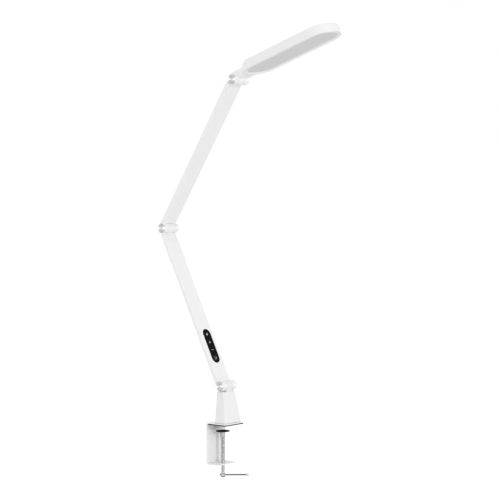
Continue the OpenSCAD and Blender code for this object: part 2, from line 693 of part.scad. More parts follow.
// ---- head ----
// In the head's own frame X runs along the head from the hinge axis and Z is up.
module head_outline(inset) { stadium(head_reach + inset, head_reach + head_length - inset, head_r - inset); }
neck_foot = 0.4;
module head_neck() {
    root = knuckle_r + knuckle_gap;
    half = neck_width / 2;
    color("white") at_head() difference() {
        union() {
            outer_knuckles();
            translate([0, half, 0]) rotate([90, 0, 0]) linear_extrude(neck_width)
                polygon([[-1.6, knuckle_r - 0.2], [knuckle_r - 1, neck_top], [head_reach + 6, neck_top], [head_reach + 6, neck_foot], [0, neck_foot], [-1.6, knuckle_r - 3]]);
            translate([head_reach, -tenon_half, tenon_foot]) cube([tenon_end - head_reach, 2 * tenon_half, tenon_top - tenon_foot]);
        }
        // room for the centre knuckle
        along_y(1) translate([0, 0, -fork_in]) cylinder(r = root, h = 2 * fork_in, $fn = 96);
        translate([-root, -fork_in, 0]) cube([root + 4, 2 * fork_in, 2 * knuckle_r]);
        // the neck ends at the head's wall, except for its tenon
        difference() {
            translate([0, 0, -1]) linear_extrude(neck_top + 2) translate([cap_near, 0]) circle(head_r + 0.08, $fn = 128);
            translate([head_reach - 5, -tenon_half, tenon_foot]) cube([tenon_end, 2 * tenon_half, tenon_top - tenon_foot]);
        }
        along_y(1) translate([0, 0, -hinge_length]) cylinder(r = axle_d / 2 + axle_fit, h = 2 * hinge_length);
        for (side = [-1, 1]) along_y(side)
            translate([0, 0, hinge_half - recess_depth]) cylinder(r = recess_r, h = recess_depth + 1, $fn = 96);
        cap_room();
        // channel for the wires, and holes for the neck's screws
        translate([knuckle_r - 1, -2.5, tenon_foot - 1.5]) cube([tenon_end, 5, 4]);
        for (y = [-1, 1]) translate([tenon_end - 7, y * 7, tenon_foot - 1]) cylinder(r = 1.6, h = 8);
    }
}
module head_axle() { color("silver") at_head() axle(); }
module head_nut() { color("silver") at_head() axle_nut(); }
module head_washers() { color("ivory") at_head() friction_washers(); }
module head_caps() { color("silver") at_head() end_caps(); }
// Round puck with a rounded upper edge, for the ends of the shell
module shell_puck(r, h, edge) {
    rotate_extrude($fn = 80) {
        square([r, h - edge]);
        square([r - edge, h]);
        translate([r - edge, h - edge]) circle(edge, $fn = 40);
    }
}
board_screw_x = [board_near + 8, (board_near + board_far) / 2, board_far - 8];
board_screw_y = led_board_width / 2 - 4;
module head_shell() {
    color("white") at_head() difference() {
        union() {
            difference() {
                hull() for (x = [cap_near, cap_far]) translate([x, 0, 0]) shell_puck(head_r, head_thickness, shell_edge);
                translate([0, 0, -1]) linear_extrude(shell_roof - 3 + 1) stadium(head_reach + shell_wall, head_reach + head_length - shell_wall, shell_in, $fn = 128);
                translate([0, 0, shell_roof - 3 - eps]) linear_extrude(3 + eps) stadium(head_reach + shell_wall + 2, head_reach + head_length - shell_wall - 2, shell_in - 2, $fn = 128);
            }
            // posts for the LED board and for the neck
            for (x = board_screw_x, y = [-1, 1]) translate([x, y * board_screw_y, board_z + led_board_t]) cylinder(r = 3, h = shell_roof - board_z - led_board_t + eps, $fn = 32);
            for (y = [-1, 1]) translate([tenon_end - 7, y * 7, tenon_top]) cylinder(r = 3.4, h = shell_roof - tenon_top + eps, $fn = 32);
        }
        for (x = board_screw_x, y = [-1, 1]) translate([x, y * board_screw_y, board_z]) cylinder(r = 1.25, h = led_board_t + 3.4, $fn = 32);
        for (y = [-1, 1]) translate([tenon_end - 7, y * 7, tenon_top - 1]) cylinder(r = 1.5, h = 4.2, $fn = 32);
        // way in for the neck's tenon
        translate([head_reach - 1, -tenon_half - 0.05, tenon_foot - 0.05]) cube([head_r, 2 * tenon_half + 0.1, tenon_top - tenon_foot + 0.1]);
    }
}
// What the sloping edge takes from the frame: two cones and a prism between them
module window_slope() {
    depth = frame_t - window_land;
    wide = window_r + window_bevel;
    for (x = [cap_near, cap_far]) translate([x, 0, 0]) cylinder(r1 = wide, r2 = window_r, h = depth, $fn = 128);
    translate([cap_near, 0, 0]) rotate([90, 0, 90]) linear_extrude(cap_far - cap_near)
        polygon([[-wide, 0], [wide, 0], [window_r, depth], [-window_r, depth]]);
}
module head_frame() {
    a = cap_near; b = cap_far;
    color("white") at_head() difference() {
        linear_extrude(collar_top) stadium(a - frame_r, b + frame_r, frame_r, $fn = 128);
        translate([0, 0, -1]) linear_extrude(frame_t + 2) stadium(a - window_r, b + window_r, window_r, $fn = 128);
        window_slope();
        translate([0, 0, frame_t]) linear_extrude(collar_top) stadium(a - collar_in, b + collar_in, collar_in, $fn = 128);
    }
}
module diffuser() {
    color("gainsboro") at_head() translate([0, 0, frame_t]) linear_extrude(diffuser_t)
        stadium(cap_near - diffuser_r, cap_far + diffuser_r, diffuser_r, $fn = 128);
}
module led_board() {
    half = led_board_width / 2;
    color("silver") at_head() translate([0, 0, board_z]) difference() {
        linear_extrude(led_board_t) rounded([board_near, -half], [board_far, half], 4);
        for (x = board_screw_x, y = [-1, 1]) translate([x, y * board_screw_y, -1]) cylinder(r = 1.4, h = 4, $fn = 32);
    }
}
module led_chips() {
    pitch = (board_far - board_near - 2 * led_margin) / (led_count - 1);
    color("gold") at_head() for (i = [0:led_count - 1], y = [-1, 0, 1])
        translate([board_near + led_margin + i * pitch - led_length / 2, y * (board_screw_y - 7) - led_width / 2, board_z - led_height])
            cube([led_length, led_width, led_height]);
}
module board_screws() {
    color("silver") at_head() for (x = board_screw_x, y = [-1, 1]) translate([x, y * board_screw_y, board_z]) union() {
        translate([0, 0, -1.6]) cylinder(r = 2.4, h = 1.6, $fn = 48);
        cylinder(r = 1.2, h = led_board_t + 3, $fn = 32);
    }
}
module neck_screws() {
    color("silver") at_head() for (y = [-1, 1]) translate([tenon_end - 7, y * 7, tenon_foot]) union() {
        translate([0, 0, -2]) cylinder(r = 2.7, h = 2, $fn = 48);
        cylinder(r = 1.45, h = tenon_top - tenon_foot + 3, $fn = 32);
    }
}
module head_wire() {
    z = tenon_foot + 1.25;
    end = board_near + 4;
    color("white") at_head() union() {
        translate([knuckle_r + 2.5, 0, z]) rotate([0, 90, 0]) cylinder(r = wire_d / 2, h = end - knuckle_r - 2.5, $fn = 32);
        translate([end, 0, z]) wire_bend();
        translate([end, 0, z]) cylinder(r = wire_d / 2, h = board_z - z, $fn = 32);
    }
}

clamp_bracket();
desk_pad();
swivel_bolt();
slip_washer_disc();
pressure_cup();
pressure_disc();
clamp_screw();
tommy_bar();
tommy_bar_cap();
column_shell();
column_floor();
column_screws();
swivel_spring();
swivel_nut();
power_inlet();
column_wire();
lower_arm_tube();
lower_foot_fork();
lower_elbow_knuckle();
lower_arm_screws();
foot_axle();
foot_nut();
foot_washers();
foot_caps();
touch_panel();
touch_board();
lower_arm_wire();
upper_arm_tube();
upper_elbow_fork();
upper_head_knuckle();
upper_arm_screws();
elbow_axle();
elbow_nut();
elbow_washers();
elbow_caps();
upper_arm_wire();
head_neck();
head_axle();
head_nut();
head_washers();
head_caps();
head_shell();
head_frame();
diffuser();
led_board();
led_chips();
board_screws();
neck_screws();
head_wire();
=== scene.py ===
import json
import bpy
import bmesh
import numpy as np
from mathutils import Matrix


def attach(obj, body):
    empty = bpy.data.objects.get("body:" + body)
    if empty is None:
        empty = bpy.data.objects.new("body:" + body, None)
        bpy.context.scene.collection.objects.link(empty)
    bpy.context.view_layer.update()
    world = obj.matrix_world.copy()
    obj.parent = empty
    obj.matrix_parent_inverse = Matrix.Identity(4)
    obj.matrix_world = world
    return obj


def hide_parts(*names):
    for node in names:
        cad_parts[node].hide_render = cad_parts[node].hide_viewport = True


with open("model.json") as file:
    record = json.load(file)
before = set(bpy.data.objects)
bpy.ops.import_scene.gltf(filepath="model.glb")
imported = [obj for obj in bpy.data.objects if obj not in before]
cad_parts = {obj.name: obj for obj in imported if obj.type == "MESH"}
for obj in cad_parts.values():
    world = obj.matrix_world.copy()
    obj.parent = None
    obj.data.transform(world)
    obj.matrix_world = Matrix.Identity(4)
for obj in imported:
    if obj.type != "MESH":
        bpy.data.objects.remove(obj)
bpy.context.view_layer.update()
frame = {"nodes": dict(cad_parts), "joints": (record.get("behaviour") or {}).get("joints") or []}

nodes = frame["nodes"]

# ---- Viewpoint ----
# The lamp stands free. A long lens looks at it almost level, from between its front
# and its +X side, so the arms lean away and the light window shows from below.
turn, dip = np.radians(39.94), np.radians(1.79)
to_eye = np.array([np.sin(turn) * np.cos(dip), -np.cos(turn) * np.cos(dip), np.sin(dip)])
sideways = np.array([np.cos(turn), np.sin(turn), 0.0])
upward = np.cross(to_eye, sideways)
aside, above, away = 0.0456, 0.34319, 3.13878
off_swivel = np.array([0.0002, 0.0, 0.0])
eye = aside * sideways + above * upward + away * to_eye + off_swivel
picture_width, focal_length, film_width = 499, 1593.76, 36.0
lens = bpy.data.cameras.new("view")
lens.sensor_fit, lens.sensor_width = "HORIZONTAL", film_width
lens.lens = focal_length / picture_width * film_width
lens.clip_end = 100.0
camera = bpy.data.objects.new("view", lens)
stand = np.column_stack([sideways, upward, to_eye, eye])
camera.matrix_world = Matrix(np.vstack([stand, [0, 0, 0, 1]]).tolist())
bpy.context.scene.collection.objects.link(camera)
bpy.context.scene.camera = camera
bpy.context.scene.view_settings.view_transform = "Standard"

# ---- Studio ----
# A white paper floor a desk's height below the desk pad, clear from its underside,
# and a white surround that gloss sees bright at eye level and dark above and below.
# A narrow key light, a weak broad fill and a soft light overhead.
floor_level, floor_half = -0.75, 20
floor_corners = [(-floor_half, -floor_half, floor_level), (floor_half, -floor_half, floor_level),
                 (floor_half, floor_half, floor_level), (-floor_half, floor_half, floor_level)]
floor_mesh = bpy.data.meshes.new("paper_floor")
floor_mesh.from_pydata(floor_corners, [], [(0, 1, 2, 3)])
paper_floor = bpy.data.objects.new("paper_floor", floor_mesh)
bpy.context.scene.collection.objects.link(paper_floor)


def shader(tree, kind, **settings):
    """A new node of that kind, with each setting written on the socket of the same
    name, where _ stands for a space."""
    made = tree.nodes.new(kind)
    for socket, value in settings.items():
        made.inputs[socket.replace("_", " ")].default_value = value
    return made


paper = bpy.data.materials.new("white_paper")
paper.use_nodes = True
tree = paper.node_tree
tree.nodes.clear()
where = shader(tree, "ShaderNodeTexCoord")
fibre = shader(tree, "ShaderNodeTexNoise", Scale=900.0)
pale = shader(tree, "ShaderNodeMapRange", To_Min=0.955, To_Max=0.97)
matt = shader(tree, "ShaderNodeBsdfDiffuse")
glow = shader(tree, "ShaderNodeEmission", Strength=0.24)
lit = shader(tree, "ShaderNodeAddShader")
rays = shader(tree, "ShaderNodeLightPath")
shown = shader(tree, "ShaderNodeMixShader")
side = shader(tree, "ShaderNodeNewGeometry")
through = shader(tree, "ShaderNodeMath")
through.operation = "MAXIMUM"
clear = shader(tree, "ShaderNodeBsdfTransparent")
opened = shader(tree, "ShaderNodeMixShader")
sheet = shader(tree, "ShaderNodeOutputMaterial")
tree.links.new(where.outputs["Object"], fibre.inputs["Vector"])
tree.links.new(fibre.outputs["Fac"], pale.inputs["Value"])
tree.links.new(pale.outputs["Result"], matt.inputs["Color"])
tree.links.new(matt.outputs[0], lit.inputs[0])
tree.links.new(glow.outputs[0], lit.inputs[1])
tree.links.new(rays.outputs["Is Camera Ray"], shown.inputs["Fac"])
tree.links.new(matt.outputs[0], shown.inputs[1])
tree.links.new(lit.outputs[0], shown.inputs[2])
tree.links.new(rays.outputs["Is Glossy Ray"], through.inputs[0])
tree.links.new(side.outputs["Backfacing"], through.inputs[1])
tree.links.new(through.outputs[0], opened.inputs["Fac"])
tree.links.new(shown.outputs[0], opened.inputs[1])
tree.links.new(clear.outputs[0], opened.inputs[2])
tree.links.new(opened.outputs[0], sheet.inputs["Surface"])
floor_mesh.materials.append(paper)

surround = bpy.data.worlds.new("white_surround")
bpy.context.scene.world = surround
surround.use_nodes = True
tree = surround.node_tree
tree.nodes.clear()
white = (1, 1, 1, 1)
soft = shader(tree, "ShaderNodeBackground", Color=white, Strength=0.64)
plain = shader(tree, "ShaderNodeBackground", Color=white, Strength=1.0)
mirrored = shader(tree, "ShaderNodeBackground", Color=white)
way = shader(tree, "ShaderNodeTexCoord")
parts = shader(tree, "ShaderNodeSeparateXYZ")
off_level = shader(tree, "ShaderNodeMath")
off_level.operation = "ABSOLUTE"
walls = shader(tree, "ShaderNodeMapRange", From_Min=0.25, From_Max=0.42, To_Min=1.45, To_Max=0.15)
walls.interpolation_type = "SMOOTHSTEP"
rays = shader(tree, "ShaderNodeLightPath")
bounced = shader(tree, "ShaderNodeMath")
bounced.operation = "MAXIMUM"
reflected = shader(tree, "ShaderNodeMixShader")
shown = shader(tree, "ShaderNodeMixShader")
sky = shader(tree, "ShaderNodeOutputWorld")
tree.links.new(way.outputs["Generated"], parts.inputs["Vector"])
tree.links.new(parts.outputs["Z"], off_level.inputs[0])
tree.links.new(off_level.outputs[0], walls.inputs["Value"])
tree.links.new(walls.outputs["Result"], mirrored.inputs["Strength"])
tree.links.new(rays.outputs["Is Glossy Ray"], bounced.inputs[0])
tree.links.new(rays.outputs["Is Transmission Ray"], bounced.inputs[1])
tree.links.new(bounced.outputs[0], reflected.inputs["Fac"])
tree.links.new(soft.outputs[0], reflected.inputs[1])
tree.links.new(mirrored.outputs[0], reflected.inputs[2])
tree.links.new(rays.outputs["Is Camera Ray"], shown.inputs["Fac"])
tree.links.new(reflected.outputs[0], shown.inputs[1])
tree.links.new(plain.outputs[0], shown.inputs[2])
tree.links.new(shown.outputs[0], sky.inputs["Surface"])


def distant_light(name, turned_to, risen, strength, spread):
    """A light like the sun's, from that many degrees round and up, whose beam
    would light a white sheet square to it to the given strength."""
    round_to, up_to = np.radians(turned_to), np.radians(risen)
    level = np.cos(up_to)
    to_light = np.array([np.sin(round_to) * level, -np.cos(round_to) * level, np.sin(up_to)])
    across = np.cross([0, 0, 1], to_light) / level
    stand = np.column_stack([across, np.cross(to_light, across), to_light, 2 * to_light])
    lamp = bpy.data.lights.new(name, "SUN")
    lamp.energy, lamp.angle = np.pi * strength, np.radians(spread)
    light = bpy.data.objects.new(name, lamp)
    light.matrix_world = Matrix(np.vstack([stand, [0, 0, 0, 1]]).tolist())
    bpy.context.scene.collection.objects.link(light)
    return light


distant_light("key", turned_to=79.0, risen=14.0, strength=0.19, spread=4.0)
fill = distant_light("fill", turned_to=-30.0, risen=10.0, strength=0.08, spread=70.0)
overhead = distant_light("overhead", turned_to=40.0, risen=80.0, strength=0.24, spread=70.0)
fill.visible_glossy = overhead.visible_glossy = False

# ---- Clamp bracket ----
# One strip of 2 mm steel, bent twice into a C and powder coated white, so its
# faces have the faint orange peel of baked powder and its edges are sealed.


def grained(name, tones, patch, roughness, grain, dent, metallic=0.0, specular=0.5):
    """A finish with two close tones in soft patches of size patch (m), and a fine
    grain of that many cells per metre that dents the surface by dent (m). Its
    roughness swings by a twelfth of itself with the patches."""
    finish = bpy.data.materials.new(name)
    finish.use_nodes = True
    tree = finish.node_tree
    skin = tree.nodes["Principled BSDF"]
    skin.inputs["Metallic"].default_value = metallic
    skin.inputs["Specular IOR Level"].default_value = specular
    where = shader(tree, "ShaderNodeTexCoord")
    cloud = shader(tree, "ShaderNodeTexNoise", Scale=1.0 / patch, Detail=3.0)
    tint = shader(tree, "ShaderNodeValToRGB")
    for stop, position, tone in zip(tint.color_ramp.elements, (0.35, 0.65), tones):
        stop.position, stop.color = position, (*tone, 1)
    swing = 0.08 * roughness
    sheen = shader(tree, "ShaderNodeMapRange", From_Min=0.3, From_Max=0.7)
    sheen.inputs["To Min"].default_value = roughness - swing
    sheen.inputs["To Max"].default_value = roughness + swing
    speck = shader(tree, "ShaderNodeTexNoise", Scale=grain, Detail=2.0)
    dimple = shader(tree, "ShaderNodeBump", Distance=dent)
    tree.links.new(where.outputs["Object"], cloud.inputs["Vector"])
    tree.links.new(where.outputs["Object"], speck.inputs["Vector"])
    tree.links.new(cloud.outputs["Fac"], tint.inputs["Fac"])
    tree.links.new(cloud.outputs["Fac"], sheen.inputs["Value"])
    tree.links.new(speck.outputs["Fac"], dimple.inputs["Height"])
    tree.links.new(tint.outputs["Color"], skin.inputs["Base Color"])
    tree.links.new(sheen.outputs["Result"], skin.inputs["Roughness"])
    tree.links.new(dimple.outputs["Normal"], skin.inputs["Normal"])
    return finish


def dress(node, finish):
    """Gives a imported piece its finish."""
    mesh = nodes[node].data
    mesh.materials.clear()
    mesh.materials.append(finish)


powder_coat = grained("white_powder_coat", [(0.900, 0.900, 0.896), (0.915, 0.915, 0.912)],
                      patch=0.03, roughness=0.42, grain=900.0, dent=2.5e-5)
dress("clamp_bracket", powder_coat)

# ---- Desk pad ----
# A 2 mm sheet of black rubber glued under the bracket's top plate, cut flush
# with it, with the dull fine grain of calendered sheet.
sheet_rubber = grained("black_sheet_rubber", [(0.006, 0.006, 0.006), (0.012, 0.012, 0.012)],
                       patch=0.01, roughness=0.8, grain=2500.0, dent=4e-5, specular=0.12)
dress("desk_pad", sheet_rubber)

# ---- Swivel bolt, its nut and its washers ----
# A flat-headed steel bolt through the bracket carries the column. A slip washer
# lets it turn, and a disc spring under the nut keeps it from turning by itself.
zinc_plate = grained("zinc_plated_steel", [(0.53, 0.54, 0.55), (0.62, 0.62, 0.62)],
                     patch=0.006, roughness=0.34, grain=1800.0, dent=6e-6, metallic=1.0)
nylon = grained("natural_nylon", [(0.87, 0.87, 0.85), (0.90, 0.90, 0.885)],
                patch=0.01, roughness=0.45, grain=1500.0, dent=1e-5)
for node in ("swivel_bolt", "swivel_nut", "swivel_spring"):
    dress(node, zinc_plate)
dress("slip_washer_disc", nylon)

# ---- Pressure foot ----
# A black moulded disc with rings that grip the underside of the desk, on a
# turned steel cup that swivels on the screw's tip.


def turned(radius, height, columns):
    """Points of a surface of revolution about +Z: ring i lies at height[i] with
    radius[i], and column j at the angle 2 pi j / columns. A radius or height may
    also differ from column to column."""
    angle = np.arange(columns) * 2 * np.pi / columns
    radius, height = (np.reshape(side, (len(side), -1)) * np.ones(columns) for side in (radius, height))
    return np.stack([radius * np.cos(angle), radius * np.sin(angle), height], axis=-1)


def placed(points, origin, x_to, y_to, z_to):
    """Points in millimetres along three directions from an origin in metres."""
    return np.asarray(origin) + 0.001 * points @ np.array([x_to, y_to, z_to])


def skinned(name, grids, body, finish, smooth=35.0):
    """One closed mesh from grids of points whose columns wrap round. Four points
    that neighbour each other in a grid make a face, and rings of no radius close."""
    corners, faces, start = [], [], 0
    for grid in grids:
        rings, columns = grid.shape[:2]
        row, column = np.meshgrid(np.arange(rings - 1), np.arange(columns), indexing="ij")
        low, beside = row * columns + column, row * columns + (column + 1) % columns
        quads = np.stack([low, beside, beside + columns, low + columns], axis=-1)
        faces.append(start + quads.reshape(-1, 4))
        corners.append(grid.reshape(-1, 3))
        start += rings * columns
    mesh = bpy.data.meshes.new(name)
    mesh.from_pydata(np.concatenate(corners).tolist(), [], np.concatenate(faces).tolist())
    work = bmesh.new()
    work.from_mesh(mesh)
    bmesh.ops.remove_doubles(work, verts=work.verts, dist=1e-7)
    bmesh.ops.recalc_face_normals(work, faces=work.faces)
    work.to_mesh(mesh)
    work.free()
    mesh.shade_smooth()
    mesh.set_sharp_from_angle(angle=np.radians(smooth))
    mesh.materials.append(finish)
    piece = bpy.data.objects.new(name, mesh)
    bpy.context.scene.collection.objects.link(piece)
    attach(piece, body)
    return piece


# The cup's steel is darker than the plated steel of the bolt and nut: this is painted shade under the
# grip disc.
cup_steel_painted_shade = grained("cup_steel_painted_shade", [(0.36, 0.36, 0.37), (0.42, 0.42, 0.42)],
                       patch=0.006, roughness=0.34, grain=1800.0, dent=6e-6, metallic=1.0)
dress("pressure_cup", cup_steel_painted_shade)

X, Y, Z = np.eye(3)
screw_axis = np.array([-0.0088, 0.0, 0.0])
disc_radius, disc_top, disc_under = 13.5, -13.0, -14.8
groove, cup_seat, seat_depth = 0.35, 8.13, 0.9
ridges = np.arange(3.0, 12.0, 1.8)
ridge_r = (ridges[:, None] + [-0.35, -0.2, 0.2, 0.35, 0.5]).ravel()
ridge_z = np.tile(disc_top - groove * np.array([1, 0, 0, 1, 1]), len(ridges))
edge_r = disc_radius - np.array([1.2, 1.0, 0.35, 0.1, 0.0, 0.0, 0.1, 0.4])
edge_z = np.array([disc_top - groove, disc_top, disc_top, disc_top - 0.1, disc_top - 0.4,
                   disc_under + 0.4, disc_under + 0.1, disc_under])
disc_r = np.concatenate([[0.0, ridges[0] - 0.5], ridge_r, edge_r, [cup_seat, cup_seat, 0.0]])
disc_z = np.concatenate([[disc_top - groove] * 2, ridge_z, edge_z,
                         [disc_under, disc_under + seat_depth, disc_under + seat_depth]])
disc = placed(turned(disc_r, disc_z, columns=96), screw_axis, X, Y, Z)
black_moulding = grained("black_moulded_plastic", [(0.006, 0.006, 0.006), (0.010, 0.010, 0.010)],
                         patch=0.01, roughness=0.5, grain=2200.0, dent=1.5e-5, specular=0.15)
grip_disc = skinned("grip_disc", [disc], "pressure_foot", black_moulding)
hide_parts("pressure_disc")

# ---- Clamp screw ----
# Steel bar with a rolled M8 thread of 1.25 mm pitch. Its foot is forged into a
# dull eye for the tommy bar, and its tip is turned down to sit in the pressure cup.
columns = 72
around = np.arange(columns) * 2 * np.pi / columns
eye_foot, eye_size, eye_bulge = -105.55, 9.4, 2.2
bar_height, bar_angle = -100.65, np.radians(40.0)
sink_radius, sink_depth, sink_edge = 1.85, 0.45, 0.35
shoulder, tip_radius, tip_top = -27.25, 2.5, -18.4
pitch, crest, root = 1.25, 4.0, 3.3
flank_rise, root_flat = 2.6, 0.2
thread_foot, thread_top, run_out = -94.6, shoulder - 0.6, 1.6

eye_z = np.linspace(0, eye_size, 60)
lift = np.clip(np.maximum(eye_bulge - eye_z, eye_z - (eye_size - eye_bulge)) / eye_bulge, 0, 1)
eye_r = eye_size / 2 - eye_bulge + eye_bulge * np.sqrt(1 - lift ** 2)
eye_r = np.maximum(eye_r, np.where(eye_z > eye_size / 2, root, 0.0))
off_bar = (eye_foot + eye_z - bar_height)[:, None]
to_hole = np.hypot(eye_r[:, None] * np.sin(around - bar_angle), off_bar)
sunk = sink_depth * np.clip(1 + sink_edge - to_hole / sink_radius, 0, sink_edge) / sink_edge
eye_rings = eye_r[:, None] - sunk


def thread_radius(z, angle):
    """Radius of a right-hand thread: root, flank, crest and flank in turn along
    the helix z / pitch - angle / 2 pi, fading to the plain root at both ends."""
    along = np.mod(z / pitch - angle / (2 * np.pi), 1.0)
    tooth = np.clip((0.5 - np.abs(along - 0.5)) * flank_rise - root_flat, 0, 1)
    fade = np.clip(np.minimum(z - thread_foot, thread_top - z) / run_out, 0, 1)
    return root + (crest - root) * tooth * fade


thread_z = np.arange(thread_foot, thread_top, pitch / 10)
thread_rings = thread_radius(thread_z[:, None], around)
tip_rings = np.outer([root, root - 0.4, tip_radius, tip_radius, 0.0], np.ones(columns))
tip_z = [shoulder - 0.5, shoulder, shoulder, tip_top, tip_top]
neck_z = [eye_foot + eye_size + 0.1, thread_foot - 0.2]
screw_r = np.concatenate([np.zeros((1, columns)), eye_rings, np.full((2, columns), root),
                          thread_rings, tip_rings])
screw_z = np.concatenate([[eye_foot], eye_foot + eye_z, neck_z, thread_z, tip_z])
screw = placed(turned(screw_r, screw_z, columns), screw_axis, X, Y, Z)
rolled_steel = grained("rolled_steel", [(0.62, 0.62, 0.63), (0.74, 0.74, 0.74)],
                       patch=0.008, roughness=0.28, grain=2500.0, dent=5e-6, metallic=1.0)
threaded_screw = skinned("threaded_screw", [screw], "screw", rolled_steel, smooth=60.0)
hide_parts("clamp_screw")

forged_steel = grained("forged_steel", [(0.42, 0.42, 0.43), (0.50, 0.50, 0.50)],
                       patch=0.004, roughness=0.38, grain=1800.0, dent=1e-5, metallic=1.0)
threaded_screw.data.materials.append(forged_steel)
middles = np.zeros(len(threaded_screw.data.polygons) * 3)
threaded_screw.data.polygons.foreach_get("center", middles)
in_eye = middles[2::3] < 0.001 * (eye_foot + eye_size)
threaded_screw.data.polygons.foreach_set("material_index", in_eye.astype(np.int32))

# ---- Tommy bar ----
# A 3 mm steel rod that slides through the eye, swaged to a small head at one
# end, with a soft grey vinyl cap pushed on at the other.
drawn_steel = grained("drawn_steel_bar", [(0.30, 0.30, 0.31), (0.38, 0.38, 0.38)],
                      patch=0.006, roughness=0.32, grain=2000.0, dent=5e-6, metallic=1.0)
dress("tommy_bar", drawn_steel)
soft_vinyl = grained("grey_vinyl", [(0.62, 0.62, 0.63), (0.68, 0.68, 0.69)],
                     patch=0.004, roughness=0.45, grain=1800.0, dent=1e-5)
dress("tommy_bar_cap", soft_vinyl)

# ---- Column ----
# Tapered moulding in a slightly greyer white plastic than the head's, with a fine
# spark-eroded skin. A steel plate closes it from below, held by two countersunk screws.
column_white = grained("white_column_plastic", [(0.850, 0.850, 0.848), (0.865, 0.865, 0.863)],
                       patch=0.05, roughness=0.46, grain=1500.0, dent=1.2e-5)
dress("column_shell", column_white)
dress("column_floor", zinc_plate)


def cross_head_screw(head, shank, length, columns=64):
    """Rings of a countersunk screw along +Z from its flat top at 0. The top dips
    by depth * side(|x|, |y|) inside a cross of two slots, where side falls from
    1 to 0 over a short bevel at the slots' flanks and ends."""
    slot_depth, slot_reach, slot_half = 1.1, 0.62 * head, 0.17 * head
    end_bevel, flank_bevel = 0.5, 0.12
    angle = np.arange(columns) * 2 * np.pi / columns
    r = np.linspace(0, head - 0.08, 26)
    x, y = np.abs(r[:, None] * np.cos(angle)), np.abs(r[:, None] * np.sin(angle))
    within_ends = np.clip((slot_reach - np.maximum(x, y)) / end_bevel, 0, 1)
    within_flanks = np.clip((slot_half - np.minimum(x, y)) / flank_bevel, 0, 1)
    side_r = [head, head - 0.05, shank, shank, shank - 0.3, 0.0]
    side_z = [0.05, 0.12, head - shank, length - 0.3, length, length]
    cross = slot_depth * within_ends * within_flanks
    height = np.concatenate([cross, np.outer(side_z, np.ones(columns))])
    return turned(np.concatenate([r, side_r]), height, columns)


plate_screw = cross_head_screw(head=3.0, shank=1.5, length=11.1)
plate_middle, plate_half, plate_under = 0.0044, 0.0182, 0.0046
plate_spots = [(plate_middle, side * plate_half, plate_under) for side in (-1, 1)]
plate_screw_pair = [placed(plate_screw, spot, X, Y, Z) for spot in plate_spots]
floor_screws = skinned("floor_screws", plate_screw_pair, "column", zinc_plate)
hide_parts("column_screws")

# ---- Power inlet ----
# Round socket for a 5.5 mm barrel plug, pressed into the column's rear wall.
# Its body is black plastic, with a nickel-plated pin in the middle.
dress("power_inlet", black_moulding)
inlet_mouth = np.array([-0.0094, 0.0, 0.0246])
bright_nickel = grained("nickel_plate", [(0.62, 0.60, 0.55), (0.70, 0.68, 0.63)],
                        patch=0.002, roughness=0.22, grain=2500.0, dent=2e-6, metallic=1.0)
pin_r = [0.0, 0.6, 0.9, 1.03, 1.03, 0.0]
pin_z = [0.78, 0.78, 0.9, 1.2, 9.9, 9.9]
pin = placed(turned(pin_r, pin_z, columns=32), inlet_mouth, Y, Z, X)
skinned("inlet_pin", [pin], "column", bright_nickel)
collar_r = [2.77, 2.77, 2.95, 3.7, 3.95, 3.95, 2.77]
collar_z = [1.0, 0.1, -0.15, -0.15, 0.0, 0.4, 1.0]
collar = placed(turned(collar_r, collar_z, columns=64), inlet_mouth, Y, Z, X)
skinned("inlet_collar", [collar], "column", black_moulding)

# ---- Hinges ----
# Three hinges of one pattern. A hollow steel axle runs through the fork and the
# centre knuckle, nylon washers give the friction, and a spun aluminium cap is
# pressed into each end. Fine lathe rings on the caps draw the light into wedges.
pivots = {joint["name"]: np.array(joint["pos_m"])
          for joint in frame["joints"] if joint["type"] == "hinge"}
foot, elbow, wrist = pivots["foot_tilt"], pivots["elbow_fold"], pivots["head_tilt"]
hinge_half, cap_radius, cap_rise, cap_round = 20.0, 9.2, 0.9, 0.35

spun = bpy.data.materials.new("spun_aluminium")
spun.use_nodes = True
tree = spun.node_tree
skin = tree.nodes["Principled BSDF"]
skin.inputs["Metallic"].default_value = 1.0
skin.inputs["Anisotropic"].default_value = 0.98
skin.inputs["Roughness"].default_value = 0.50
ring_map = shader(tree, "ShaderNodeUVMap")
ring_map.uv_map = "rings"
stretch = shader(tree, "ShaderNodeMapping", Scale=(260.0, 0.4, 1.0))
lathe = shader(tree, "ShaderNodeTexNoise", Scale=1.0, Detail=4.0)
shine = shader(tree, "ShaderNodeValToRGB")
shine.color_ramp.elements[0].color = (0.93, 0.93, 0.935, 1)
shine.color_ramp.elements[1].color = (0.98, 0.98, 0.98, 1)
groove_mark = shader(tree, "ShaderNodeBump", Distance=3e-6)
lie = shader(tree, "ShaderNodeTangent")
lie.direction_type = "UV_MAP"
lie.uv_map = "rings"
tree.links.new(ring_map.outputs["UV"], stretch.inputs["Vector"])
tree.links.new(stretch.outputs["Vector"], lathe.inputs["Vector"])
tree.links.new(lathe.outputs["Fac"], shine.inputs["Fac"])
tree.links.new(lathe.outputs["Fac"], groove_mark.inputs["Height"])
tree.links.new(shine.outputs["Color"], skin.inputs["Base Color"])
tree.links.new(groove_mark.outputs["Normal"], skin.inputs["Normal"])
tree.links.new(lie.outputs["Tangent"], skin.inputs["Tangent"])


